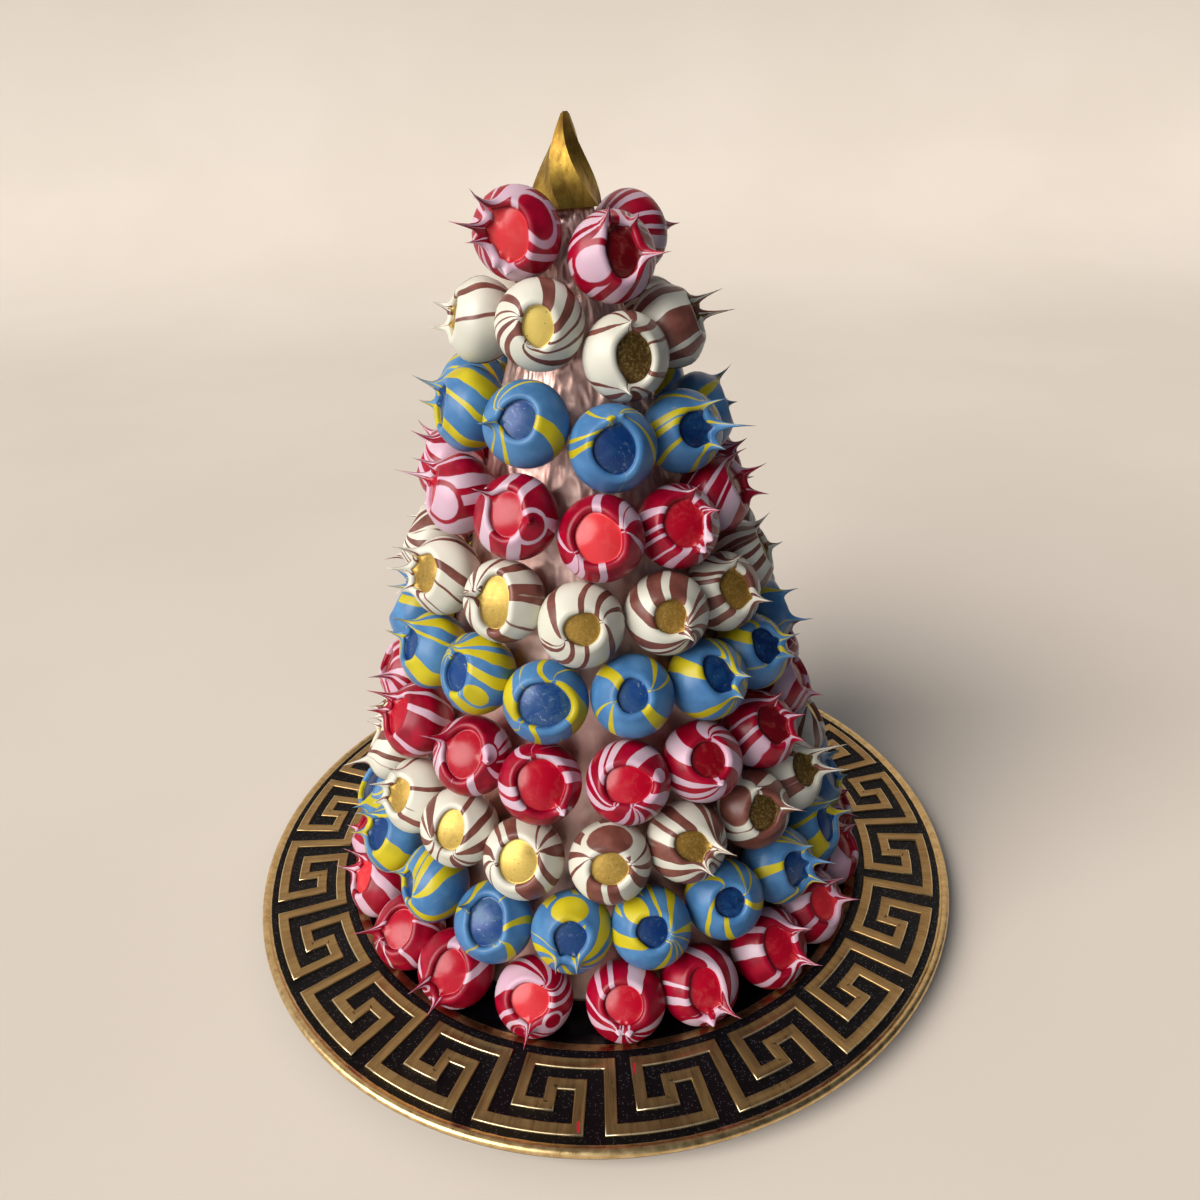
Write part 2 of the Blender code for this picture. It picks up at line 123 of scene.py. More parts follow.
# Differences listed ring by ring: azimuth, mm above the ring's plane, the window's turn and lift, its
# half width and half height as shares of the radius, and spikes as (angle round it, length in mm)
LOOKS = (
    (
        (-126, 1, 25, 5, 0.46, 0.60, ((125, 9), (165, 9), (190, 5))),
        (-60, -1, -10, 18, 0.40, 0.62, ((110, 8), (-10, 8), (60, 4))),
        (37, 3.5, 10, 10, 0.45, 0.50, ((30, 6), (-20, 12), (180, 5))),
        (100, 0, 0, 12, 0.45, 0.52, ((60, 7), (150, 5))),
    ),
    (
        (-222, -16, -5, 15, 0.45, 0.50, ((150, 5),)),
        (-146, -0.5, -10, 15, 0.45, 0.50, ((170, 6), (215, 6))),
        (-107, 2.5, 15, 10, 0.37, 0.50, ()),
        (-63, -2.5, -10, 10, 0.47, 0.56, ((95, 3), (250, 3))),
        (-28, 3.5, 10, 25, 0.45, 0.50, ((20, 9), (-15, 11))),
    ),
    (
        (-150, -0.5, -10, 15, 0.45, 0.50, ((150, 8), (190, 5))),
        (-112, 1.5, 10, 28, 0.42, 0.50, ((190, 5),)),
        (-76, -1.5, -10, 15, 0.50, 0.63, ((75, 2),)),
        (-38, 0, -30, 20, 0.40, 0.47, ((55, 7), (0, 11), (-45, 5))),
        (-4, 0, 0, 20, 0.45, 0.50, ((60, 6), (-20, 4))),
    ),
    (
        (-148, -0.5, -15, 20, 0.45, 0.50, ((170, 10), (130, 7))),
        (-115, 0, 5, 30, 0.45, 0.57, ((140, 6), (-10, 4))),
        (-84, -2, -15, 25, 0.60, 0.62, ()),
        (-54, -0.5, -25, 27, 0.53, 0.60, ((70, 4), (20, 4))),
        (-24, 4.5, 0, 25, 0.45, 0.55, ((75, 6), (10, 7), (-40, 6))),
    ),
    (
        (-150, -2.5, 15, 25, 0.45, 0.55, ((140, 8), (185, 7), (230, 5))),
        (-118, 0, 10, 22, 0.42, 0.68, ((165, 5),)),
        (-93, -3.5, 7, 20, 0.44, 0.44, ()),
        (-65, -1, -20, 20, 0.43, 0.43, ((-50, 4),)),
        (-39, -1.5, -25, 28, 0.45, 0.55, ((80, 5), (-35, 5))),
        (-12, 2, 0, 25, 0.45, 0.50, ((70, 6), (-20, 5))),
    ),
    (
        (-150, -1, 0, 30, 0.40, 0.45, ((175, 6), (130, 7))),
        (-127, 1, -10, 26, 0.42, 0.50, ((120, 3),)),
        (-104, -2.5, 12, 25, 0.66, 0.58, ()),
        (-80, 0, -12, 33, 0.39, 0.45, ()),
        (-55, -0.5, -12, 42, 0.40, 0.50, ((-20, 4), (-65, 4))),
        (-31, 0, -25, 40, 0.45, 0.50, ((0, 5), (-45, 4))),
    ),
    (
        (-153, -3.5, 5, 33, 0.42, 0.55, ((150, 9), (195, 6))),
        (-126, 0, 15, 40, 0.50, 0.72, ((155, 7), (0, 5))),
        (-105, -4.5, 20, 32, 0.62, 0.68, ()),
        (-83, -2, -10, 33, 0.58, 0.50, ()),
        (-61, 0.5, -15, 40, 0.45, 0.50, ()),
        (-38, -3, -20, 42, 0.45, 0.55, ((60, 5), (0, 5), (-50, 4))),
    ),
    (
        (-148, -1, 15, 32, 0.40, 0.50, ((120, 5), (170, 6), (215, 4))),
        (-128, 0.5, 22, 32, 0.42, 0.55, ()),
        (-108, -3, 5, 32, 0.52, 0.58, ()),
        (-88, -2, -5, 27, 0.50, 0.42, ()),
        (-69, 0, -12, 32, 0.44, 0.42, ((-10, 10), (-65, 5))),
        (-47, -0.5, -22, 28, 0.42, 0.50, ((0, 7), (100, 4))),
        (-30, -1, -20, 38, 0.42, 0.50, ((25, 12), (-25, 10))),
    ),
    (
        (-156, -4, 15, 38, 0.42, 0.50, ((155, 6), (205, 5))),
        (-135, 0.5, -20, 20, 0.38, 0.40, ((180, 5),)),
        (-116, -1, 10, 42, 0.50, 0.62, ((150, 5),)),
        (-97, 0, 4, 32, 0.43, 0.43, ((240, 5), (285, 5))),
        (-79, -1, -8, 36, 0.42, 0.42, ()),
        (-61, 1.5, -20, 35, 0.40, 0.42, ()),
        (-43, 1, -12, 25, 0.40, 0.50, ((45, 4), (0, 9), (-45, 6))),
        (-26, -2, -10, 35, 0.42, 0.50, ((0, 8), (45, 6))),
    ),
    (
        (-159, 0, 10, 38, 0.42, 0.50, ((140, 7), (190, 7))),
        (-141, 0, 22, 50, 0.45, 0.60, ((200, 9),)),
        (-124, 0, 25, 38, 0.45, 0.65, ((205, 8), (250, 7))),
        (-106, 0, 5, 38, 0.53, 0.50, ((275, 7),)),
        (-87.5, 0, -10, 40, 0.52, 0.50, ()),
        (-70.5, 0, -10, 34, 0.45, 0.60, ((-45, 7),)),
        (-53, 0, -15, 42, 0.45, 0.60, ((30, 8), (-40, 8))),
        (-36, 0, -20, 40, 0.42, 0.50, ((45, 6), (-10, 7))),
    ),
)


def core_radius(height):
    """Radius of the foil cone at a height above the rim."""
    return CORE_AT_RIM - CORE_TAPER * height


def bonbon_radius(ring):
    """Nominal radius in a ring, counted from the top."""
    share = ring / (len(RINGS) - 1)
    return TOP_BONBON_RADIUS + (BOTTOM_BONBON_RADIUS - TOP_BONBON_RADIUS) * share


def place(turn, height, size):
    """Centres of bonbons that lean on the cone, and their distances from its axis."""
    reach = core_radius(height) + (size + CORE_GAP) * math.hypot(1, CORE_TAPER)
    centres = np.stack([reach * np.cos(turn) + LEAN * height, reach * np.sin(turn), height], 1)
    return centres, reach


def settle(ring, run, turn, height, size):
    """Slides the bonbons on the cone until those of a run touch and all others stand clear."""
    count = len(turn)
    same_run = run[:, None] == run[None, :]
    order = np.arange(count)
    touching = same_run & (abs(order[:, None] - order[None, :]) == 1)
    reach_sum = size[:, None] + size[None, :]
    slant = math.hypot(1, CORE_TAPER)
    lowest = ring == len(RINGS) - 1
    for _ in range(SETTLE_STEPS):
        height[lowest] = size[lowest] + CLEARANCE - WELL_DEPTH
        centres, reach = place(turn, height, size)
        apart = centres[:, None] - centres[None, :]
        distance = np.linalg.norm(apart, axis=2) + np.eye(count)
        short = np.maximum(0, reach_sum + CLEARANCE - distance) * ~same_run
        short = np.where(touching, reach_sum - FUSE - distance, short)
        push = (short[..., None] * apart / distance[..., None]).sum(1) * SETTLE_RATE
        around = np.stack([-np.sin(turn), np.cos(turn), 0 * turn], 1)
        inward = -CORE_TAPER * np.cos(turn), -CORE_TAPER * np.sin(turn)
        upward = np.stack([*inward, np.ones(count)], 1) / slant
        turn = turn + (push * around).sum(1) / reach
        height = height + (push * upward).sum(1) / slant
    return turn, height


def random_look(draw, ring):
    """A look for a bonbon that has none of its own: turn, lift, half width, half height, spikes."""
    spikes, angle = [], draw.uniform(0, 360)
    for _ in range(draw.choice((1, 2, 2))):
        spikes.append((angle, draw.uniform(3, 9)))
        angle += draw.uniform(70, 130)
    lift = TOP_LIFT + LIFT_STEP * ring + draw.uniform(-7, 7)
    return (draw.uniform(-14, 14), lift, draw.uniform(0.4, 0.56), draw.uniform(0.42, 0.6), spikes)


def ring_looks(draw, ring, count):
    """A ring's looks: the ones in its table, then random ones evenly over the rest of the ring."""
    looks = list(LOOKS[ring])
    start = looks[-1][0]
    rest = count - len(looks)
    step = (looks[0][0] + 360 - start) / (rest + 1)
    for i in range(rest):
        looks.append((start + step * (i + 1), 0, *random_look(draw, ring)))
    return looks


def lay_out():
    """Ring, run, azimuth, height and radius of every bonbon before they settle, and its look."""
    draw = random.Random(SEED)
    rows, looks, run = [], [], 0
    for ring, (_, height, slope, runs) in enumerate(RINGS):
        ball = bonbon_radius(ring)
        members = iter(ring_looks(draw, ring, sum(runs)))
        for count in runs:
            for azimuth, rise, *look in islice(members, count):
                turn = math.radians(azimuth)
                tilt = slope * (core_radius(height) + ball) * math.cos(turn)
                size = ball + draw.uniform(-BONBON_SPREAD, BONBON_SPREAD)
                rows.append((ring, run, turn, height + tilt + rise / 1000, size))
                looks.append(look)
            run += 1
    return [np.array(column) for column in zip(*rows)], looks


def arrange():
    """Every bonbon's ring, run, azimuth, centre, radius and look."""
    (ring, run, turn, height, size), looks = lay_out()
    turn, height = settle(ring, run, turn, height, size)
    centres = place(turn, height, size)[0] + (0, 0, RIM_HEIGHT)
    return ring, run, turn, centres, size, looks


def axes(turn, lift):
    """Outward, right and up directions of something that faces an azimuth and a lift."""
    flat = np.array((math.cos(turn), math.sin(turn), 0))
    right = np.array((-math.sin(turn), math.cos(turn), 0))
    up = np.array((0, 0, 1.0))
    tilt = math.radians(lift)
    return (
        math.cos(tilt) * flat + math.sin(tilt) * up,
        right,
        math.cos(tilt) * up - math.sin(tilt) * flat,
    )


# ---------------- bonbons in full detail

# Rows over the lip: offset from the window's edge in degrees, radius as a share of the ball's
LIP_ROWS = (
    (2.4, 0.848), (0.5, 0.888), (-0.9, 0.940), (-1.0, 0.990), (0.3, 1.028),
    (2.2, 1.047), (3.4, 1.053), (4.5, 1.055), (5.6, 1.054), (7.4, 1.048),
    (10.5, 1.035), (14.5, 1.019), (19.5, 1.008), (26.0, 1.001),
)
CREST = 4.5

# The window's floor: radius at its middle, rows as (share of the way out, radius), and how many
# degrees it runs on under the lip
FLOOR_RADIUS = 0.796
FLOOR_ROWS = ((0.3, 0.799), (0.6, 0.808), (0.82, 0.820), (0.94, 0.829), (1.0, 0.840))
FLOOR_OVERLAP = 2.5

# How deep the ball is on its window's side, as a share of its radius
FRONT_DEPTH = 0.68

# Points: rows from the lip to the back, columns round the window, and closer columns at each spike
BODY_ROWS = 12
COLUMNS = 44
NEAR_SPIKE = (0, -1.7, 1.7, -3.8, 3.8, -6.8, 6.8, -10.5, 10.5)
SPIKE_CLEAR = 13.5

# Spikes are thin needles on a broad skirt, and drips are round drops that lean out of the lip
SPIKE_REACH = 0.0007
SKIRT_REACH = 0.0026
SKIRT_SHARE = 0.09
NEEDLE_STRETCH = 1.35
NEEDLE_BEND = 0.6
DRIP_REACH = 0.0015
DRIP_OUT, DRIP_SPREAD, DRIP_FALL = 0.8, 0.35, 0.3

# A spike also pulls the window's edge out, by degrees at most and over a width in degrees
LIP_PULL, LIP_PULL_WIDTH = 3.5, 14

# For the entries in LOOKS: share of the light colour, and tone of the window from deep to bright. These
# tones are partly painted shade and light: windows in shade are set deeper and lit ones brighter,
# besides real differences between bonbons. The others take a share about their colour's own, and any
# tone.
TRAITS = (
    ((0.40, 1.0), (0.52, 0.0), (0.45, 0.2)),
    (None, (0.80, 0.6), (0.60, 1.0), (0.68, 0.0), (0.50, 0.1)),
    ((0.45, 0.5), (0.24, 0.65), (0.18, 0.3), (0.30, 0.1), (0.10, 0.0)),
    ((0.51, 0.4), (0.37, 0.6), (0.31, 1.0), (0.37, 0.35), (0.34, 0.2)),
    ((0.72, 0.6), (0.62, 0.68), (0.70, 0.55), (0.52, 0.5), (0.62, 0.3)),
    ((0.50, 0.5), (0.45, 0.6), (0.28, 0.8), (0.24, 0.55), (0.36, 0.2), (0.30, 0.1)),
    ((0.20, 0.4), (0.33, 0.4), (0.25, 0.45), (0.45, 0.55), (0.47, 0.15), (0.35, 0.1)),
    ((0.85, 0.6), (0.56, 0.7), (0.56, 0.75), (0.52, 0.62), (0.55, 0.3), (0.40, 0.0), (0.75, 0.1)),
    ((0.35, 0.4), (0.45, 0.5), (0.22, 0.75), (0.38, 0.35), (0.36, 0.25), (0.25, 0.1)),
    (None, (0.18, 0.6), (0.33, 0.6), (0.40, 0.9), (0.38, 0.55), (0.38, 0.4)),
)
LIGHT_SHARE = {"red": 0.4, "brown": 0.58, "blue": 0.3}
LIGHT_SPREAD = 0.12

# By (ring, entry in LOOKS): drips on the lip as (angle round the window, length in mm)
DRIPS = {
    (0, 0): ((238, 3.0), (262, 3.2)),
    (2, 2): ((95, 2.2),),
    (3, 3): ((300, 2.8), (325, 2.4)),
    (6, 2): ((305, 3.0),),
    (6, 4): ((285, 2.2),),
    (9, 4): ((285, 2.6), (262, 2.0)),
    (9, 5): ((275, 3.0),),
}

# Round patches beside some windows, by the same key: angle round the window, distance from its
# middle, half width and half length, all in degrees, and whether the patch is light
PATCHES = {
    (0, 0): (32, 46, 30, 22, 0),
    (0, 1): (195, 46, 22, 30, 1),
    (3, 0): (-5, 48, 24, 30, 1),
    (3, 1): (-20, 44, 19, 19, 0),
    (5, 1): (-25, 50, 14, 24, 1),
    (6, 1): (10, 42, 13, 13, 1),
    (6, 3): (15, 48, 9, 12, 1),
    (7, 3): (88, 46, 32, 24, 0),
    (7, 5): (150, 52, 30, 30, 0),
    (8, 3): (92, 42, 26, 22, 1),
    (8, 4): (125, 40, 16, 26, 1),
    (9, 3): (-35, 50, 13, 15, 0),
}
NO_PATCH = 9.0


def flatten(points, outward):
    """Points of a unit ball, pressed flatter on the side of its window."""
    return points - (1 - FRONT_DEPTH) * np.maximum(points @ outward, 0)[..., None] * outward


def degrees_apart(first, second):
    """The angle between two directions round the window, in degrees."""
    return abs((first - second + 180) % 360 - 180)


def bearing(angles, mark):
    """How far angles in radians lie from a mark in degrees, the short way round, in radians."""
    return (angles - math.radians(mark) + math.pi) % (2 * math.pi) - math.pi


def column_angles(spikes):
    """Angles round the window, in radians, evenly spread and closer together at each spike."""
    even = [360 * j / COLUMNS for j in range(COLUMNS)]
    chosen = [a for a in even if all(degrees_apart(a, s) > SPIKE_CLEAR for s in spikes)]
    for k, spike in enumerate(spikes):
        near = [(spike + offset) % 360 for offset in NEAR_SPIKE]
        chosen += [a for a in near if all(degrees_apart(a, s) > SPIKE_CLEAR for s in spikes[:k])]
    return np.radians(np.array(sorted(chosen)))


def window_edge(angles, wide, tall, draw, spikes):
    """The window's reach from its middle at each angle, in radians, a little uneven."""
    reach = np.arcsin(1 / np.hypot(np.cos(angles) / wide, np.sin(angles) / tall))
    for waves in (2, 3, 5):
        swell = draw.uniform(0.02, 0.13) / waves
        reach = reach * (1 + swell * np.cos(waves * angles + draw.uniform(0, 6.28)))
    for spike in spikes:
        off = bearing(angles, spike) / math.radians(LIP_PULL_WIDTH)
        reach = reach + math.radians(LIP_PULL) * np.exp(-(off**2))
    return reach


def swells(draw, unit):
    """Shallow unevenness of a ball over all its directions."""
    total = 0
    for _ in range(3):
        way = np.array([draw.uniform(-3, 3) for _ in range(3)])
        total = total + draw.uniform(0.002, 0.008) * np.cos(unit @ way + draw.uniform(0, 6))
    return total


def stripe_flow(spread, angles, cusps, swirls):
    """Cosine and sine of the marbling's phase, whose lines run from the cusps round to the back."""
    point = np.tan(np.clip(spread, 0, 3.05) / 2) * np.exp(1j * angles)
    flow = np.ones_like(point)
    for k, (reach, angle) in enumerate(cusps):
        away = point - math.tan(reach / 2) * np.exp(1j * angle)
        flow = flow * np.where(abs(away) < 1e-6, 1, away / np.maximum(abs(away), 1e-9))
        flow = flow * np.exp(1j * swirls[k] * np.log(abs(away) + 0.06))
    return flow.real, flow.imag


def patch_reach(unit, frame, patch):
    """How far each direction is from a patch's middle, 1 at its edge, and whether it is light."""
    if patch is None:
        return NO_PATCH, 0
    angle, away, wide, long, light = patch
    outward, right, up = frame
    turn = math.radians(angle)
    side = math.cos(turn) * right + math.sin(turn) * up
    middle = math.cos(math.radians(away)) * outward + math.sin(math.radians(away)) * side
    lengthwise = np.cross(np.cross(middle, outward), middle)
    lengthwise = lengthwise / np.linalg.norm(lengthwise)
    across = np.cross(middle, lengthwise)
    x = (unit @ across) / math.sin(math.radians(wide))
    y = (unit @ lengthwise) / math.sin(math.radians(long))
    return np.where(unit @ middle > 0, np.hypot(x, y), NO_PATCH), light


def ball_rows(edge):
    """Each point's angle from the window's middle, share of the radius, and whether it is floor."""
    rows = [(share * (edge + math.radians(FLOOR_OVERLAP)), height, 1) for share, height in FLOOR_ROWS]
    rows += [(edge + math.radians(offset), height, 0) for offset, height in LIP_ROWS]
    last = rows[-1][0]
    rows += [(last + (math.pi - last) * (i / BODY_ROWS), 1, 0) for i in range(1, BODY_ROWS)]
    spread, height, floor = zip(*rows)
    one_row = np.ones_like(edge)
    return np.stack(spread), np.outer(height, one_row), np.outer(floor, one_row)


def gap_to_crest(crest, frame, ball, size):
    """Distances of a ball's points from a place on its lip, longer inwards, and the way out there."""
    reach, angle = crest
    outward, right, up = frame
    out = math.cos(angle) * right + math.sin(angle) * up
    apart = ball - size * (math.cos(reach) * outward + math.sin(reach) * out)
    inwards = 0.9 * np.minimum(apart @ out, 0)
    return np.sqrt((apart**2).sum(-1) + inwards**2 * 2), out


def spike_pull(draw, gap, out, frame, flat):
    """A spike's hold on each point, its way, and its bend."""
    outward, right, up = frame
    hold = np.exp(-gap / SPIKE_REACH) + SKIRT_SHARE * np.exp(-((gap / SKIRT_REACH) ** 2))
    way = SPIKE_OUT * flat + SPIKE_ALONG * outward + SPIKE_SPREAD * out
    bend = draw.uniform(-0.3, 0.3) * right + draw.uniform(-0.15, 0.35) * up
    way, bend = NEEDLE_STRETCH * way / np.linalg.norm(way), NEEDLE_STRETCH * NEEDLE_BEND * bend
    return hold / hold.max(), way, bend


def drip_pull(gap, out, frame):
    """A drip's hold on each point, and its way."""
    outward, _, up = frame
    return np.exp(-((gap / DRIP_REACH) ** 2)), DRIP_OUT * outward + DRIP_SPREAD * out - DRIP_FALL * up


def ball_faces(shape):
    """Quads between the rows, then triangles to the front and back poles, which are the last points."""
    grid = np.arange(math.prod(shape)).reshape(shape)
    after = np.roll(grid, -1, 1)
    quads = np.stack([grid[1:], after[1:], after[:-1], grid[:-1]], -1).reshape(-1, 4)
    front, back = grid.size, grid.size + 1
    fans = [(front, a, b) for a, b in zip(grid[0].tolist(), after[0].tolist())]
    fans += [(back, b, a) for a, b in zip(grid[-1].tolist(), after[-1].tolist())]
    return quads.tolist() + fans


def per_point(shape, values, poles):
    """Three values for each point, and then those of the poles."""
    grid = np.stack([np.broadcast_to(value, shape) for value in values], -1)
    return np.concatenate([grid.reshape(-1, 3), poles])


def bonbon_mesh(centre, size, turn, look, trait, seed):
    """One bonbon's points and faces, and for each point its marbling, masks and patch."""
    draw = random.Random(seed)
    swing, lift, wide, tall, spikes = look
    share, tone, drips, patch = trait
    outward, right, up = frame = axes(turn + math.radians(swing), lift)
    angles = column_angles([angle % 360 for angle, _ in (*spikes, *drips)])
    edge = window_edge(angles, wide, tall, draw, [angle for angle, _ in spikes])
    spread, height, floor = ball_rows(edge)
    side = np.cos(angles)[:, None] * right + np.sin(angles)[:, None] * up
    unit = np.cos(spread)[..., None] * outward + np.sin(spread)[..., None] * side
    height = height + swells(draw, unit) * (1 - 0.5 * floor)
    points = centre + size * flatten(height[..., None] * unit, outward)

    cusps, pale = [], np.zeros_like(spread)
    for k, (mark, length) in enumerate((*spikes, *drips)):
        column = int(np.argmin(abs(bearing(angles, mark))))
        cusps.append((edge[column] + math.radians(CREST), angles[column]))
        gap, out = gap_to_crest(cusps[-1], frame, size * unit, size)
        if k < len(spikes):
            hold, way, bend = spike_pull(draw, gap, out, frame, axes(turn, 0)[0])
        else:
            hold, way = drip_pull(gap, out, frame)
            pale, bend = np.maximum(pale, hold), 0
        hold = hold[..., None]
        points = points + length / 1000 * (hold * way + hold**2.5 * bend)

    cusps = cusps[:3]
    while len(cusps) < 2:
        column = draw.randrange(len(angles))
        cusps.append((edge[column] + math.radians(1), angles[column]))
    swirls = [draw.choice((-1, 1)) * draw.uniform(0.15, 0.75) for _ in cusps]
    flow_x, flow_y = stripe_flow(spread, angles, cusps, swirls)
    turned = draw.random()
    eye, eye_light = patch_reach(unit, frame, patch)
    poles = centre + size * flatten(np.stack([FLOOR_RADIUS * outward, -outward]), outward)
    shape, back = spread.shape, (flow_x[-1, 0], flow_y[-1, 0], turned)
    return (
        np.concatenate([points.reshape(-1, 3), poles]),
        ball_faces(shape),
        per_point(shape, (flow_x, flow_y, turned), [(1, 0, turned), back]),
        per_point(shape, (floor, pale, share), [(1, 0, share), (0, 0, share)]),
        per_point(shape, (eye, eye_light, tone), [(NO_PATCH, 0, tone)] * 2),
    )


def join_meshes(name, parts, material):
    """One mesh object from several bonbons' arrays, with their marbling and masks as attributes."""
    points, faces, flows, masks, patches = zip(*parts)
    joined, offset = [], 0
    for made, own in zip(points, faces):
        joined += [[i + offset for i in face] for face in own]
        offset += len(made)
    piece = object_from(name, np.concatenate(points).tolist(), joined, material)
    for label, values in (("flow", flows), ("mask", masks), ("patch", patches)):
        layer = piece.data.attributes.new(label, "FLOAT_VECTOR", "POINT")
        layer.data.foreach_set("vector", np.concatenate(values).astype(np.float32).ravel())
    return piece


# ---------------- materials


def srgb(*values):
    """A linear colour from 0-255 sRGB values."""
    shares = [value / 255 for value in values]
    return (*[s / 12.92 if s < 0.04 else ((s + 0.055) / 1.055) ** 2.4 for s in shares], 1)


class Shader:
    """Shorthand for building one node material. Colours are given as 0-255 sRGB values."""

    def __init__(self, name):
        self.material = bpy.data.materials.new(name)
        self.material.use_nodes = True
        self.tree = self.material.node_tree
        self.surface = self.tree.nodes["Principled BSDF"]
        self.place = self.add("TexCoord")["Object"]

    def put(self, node, inputs):
        """Links or sets a node's inputs, by number or by name with _ for spaces."""
        for key, value in inputs.items():
            socket = node.inputs[key if isinstance(key, int) else key.replace("_", " ")]
            if isinstance(value, bpy.types.NodeSocket):
                self.tree.links.new(value, socket)
            else:
                socket.default_value = srgb(*value) if socket.type == "RGBA" else value

    def add(self, kind, *inputs, settings=(), **named):
        """The outputs of a new node."""
        node = self.tree.nodes.new(f"ShaderNode{kind}")
        for name, value in settings:
            setattr(node, name, value)
        self.put(node, {**dict(enumerate(inputs)), **named})
        return node.outputs

    def set(self, **inputs):
        """Links or sets the surface's inputs."""
        self.put(self.surface, inputs)

    def math(self, operation, *values):
        """One Math node."""
        return self.add("Math", *values, settings=[("operation", operation)])[0]

    def split(self, vector):
        """The three parts of a vector."""
        return self.add("SeparateXYZ", vector)

    def attribute(self, name):
        """The three parts of a vector attribute."""
        return self.split(self.add("Attribute", settings=[("attribute_name", name)])["Vector"])

    def length(self, x, y):
        """The length of a flat vector."""
        squares = self.math("MULTIPLY", x, x), self.math("MULTIPLY", y, y)
        return self.math("SQRT", self.math("ADD", *squares))

    def noise(self, scale, detail, roughness=0.5, vector=None, distortion=0.0):
        """Noise from 0 to 1."""
        shape = {"Scale": scale, "Detail": detail, "Roughness": roughness, "Distortion": distortion}
        return self.add("TexNoise", Vector=vector or self.place, **shape)["Fac"]

    def cells(self, scale):
        """Distance to the nearest cell point, and the cell's random colour."""
        outputs = self.add("TexVoronoi", Vector=self.place, Scale=scale)
        return outputs["Distance"], outputs["Color"]

    def stretch(self, scale):
        """The place scaled along each axis."""
        return self.add("Mapping", Vector=self.place, Scale=scale)[0]

    def ramp(self, value, low, high, start=0.0, end=1.0, smooth=True):
        """The value's place between two limits, from start to end."""
        settings = [("interpolation_type", "SMOOTHSTEP" if smooth else "LINEAR")]
        return self.add("MapRange", value, low, high, start, end, settings=settings)[0]

    def mix(self, share, first, second):
        """Two colours mixed."""
        settings = [("data_type", "RGBA")]
        return self.add("Mix", Factor=share, A=first, B=second, settings=settings)["Result"]

    def bump(self, height, strength, distance):
        """A bump from a height on the surface."""
        self.set(Normal=self.add("Bump", Height=height, Strength=strength, Distance=distance)[0])


# The marbling's waves: how often each goes round, its height, and how far a ball's seed turns it
WAVES = (
    (1, 0.30, 17.3), (2, 0.65, 41.7), (3, 0.80, 73.1),
    (5, 0.85, 111.9), (7, 0.70, 157.7), (11, 0.35, 213.1),
)


def swap_ring(s, light, patch, patch_light):
    """The marbling with a round patch in one colour and a thin ring of the other about it."""
    inside = s.ramp(patch, 0.96, 1.04, 1.0, 0.0)
    about = s.ramp(patch, 1.26, 1.34, 1.0, 0.0)
    other = s.math("SUBTRACT", 1.0, patch_light)
    light = s.ramp(about, 0.0, 1.0, light, other, smooth=False)
    return s.ramp(inside, 0.0, 1.0, light, patch_light, smooth=False)


def marbling(s):
    """The marbling from 0, dark, to 1, light, the window floor's mask, and the window's tone."""
    flow_x, flow_y, seed = s.attribute("flow")
    floor, pale, share = s.attribute("mask")
    patch, patch_light, tone = s.attribute("patch")
    phase = s.math("ARCTAN2", flow_y, flow_x)
    warp = s.ramp(s.noise(75, 1.5), 0.2, 0.8, -0.5, 0.5, smooth=False)
    total = None
    for count, height, turn in WAVES:
        angle = s.math("MULTIPLY_ADD", phase, count, s.math("MULTIPLY", seed, turn))
        angle = s.math("MULTIPLY_ADD", warp, 0.6 * count**0.5, angle)
        wave = s.math("MULTIPLY", s.math("COSINE", angle), height)
        total = s.math("ADD", total, wave) if total else wave
    level = s.ramp(share, 0.0, 1.0, 1.8, -1.8, smooth=False)
    below = s.math("SUBTRACT", level, 0.06)
    light = s.ramp(total, below, s.math("ADD", level, 0.06))
    patch = s.math("ADD", patch, s.math("MULTIPLY", warp, 0.25))
    light = swap_ring(s, light, patch, patch_light)
    light = s.math("MAXIMUM", light, s.ramp(pale, 0.33, 0.42))
    return light, s.ramp(floor, 0.45, 0.55), tone


def red_material():
    """Cherry red and pinkish white marbling round a window from deep crimson to coral, its tone partly
    painted shade and light.
    """
    s = Shader("red_marbled_chocolate")
    light, floor, tone = marbling(s)
    dark = s.mix(s.ramp(s.noise(180, 3), 0.35, 0.7), (142, 0, 32), (174, 2, 44))
    pale = s.mix(s.ramp(s.noise(60, 1), 0.35, 0.65), (211, 183, 195), (216, 173, 192))
    shell = s.mix(light, dark, pale)
    # Painted shade and light: deep maroon tones were given to windows in shade and coral to lit ones,
    # besides real differences
    window_red = s.mix(s.ramp(tone, 0.0, 0.5), (100, 0, 8), (186, 4, 38))
    window_red = s.mix(s.ramp(tone, 0.6, 1.0), window_red, (224, 54, 60))
    mottle = s.noise(230, 4, 0.6, distortion=0.6)
    paler = s.mix(0.09, window_red, (250, 150, 130))
    window_red = s.mix(s.ramp(mottle, 0.46, 0.72), window_red, paler)
    s.set(Base_Color=s.mix(floor, shell, window_red), Roughness=s.ramp(floor, 0, 1, 0.32, 0.22))
    s.set(Specular_IOR_Level=0.36, Subsurface_Weight=0.06, Subsurface_Scale=0.002)
    s.bump(s.noise(420, 3), 0.12, 0.0002)
    return s.material


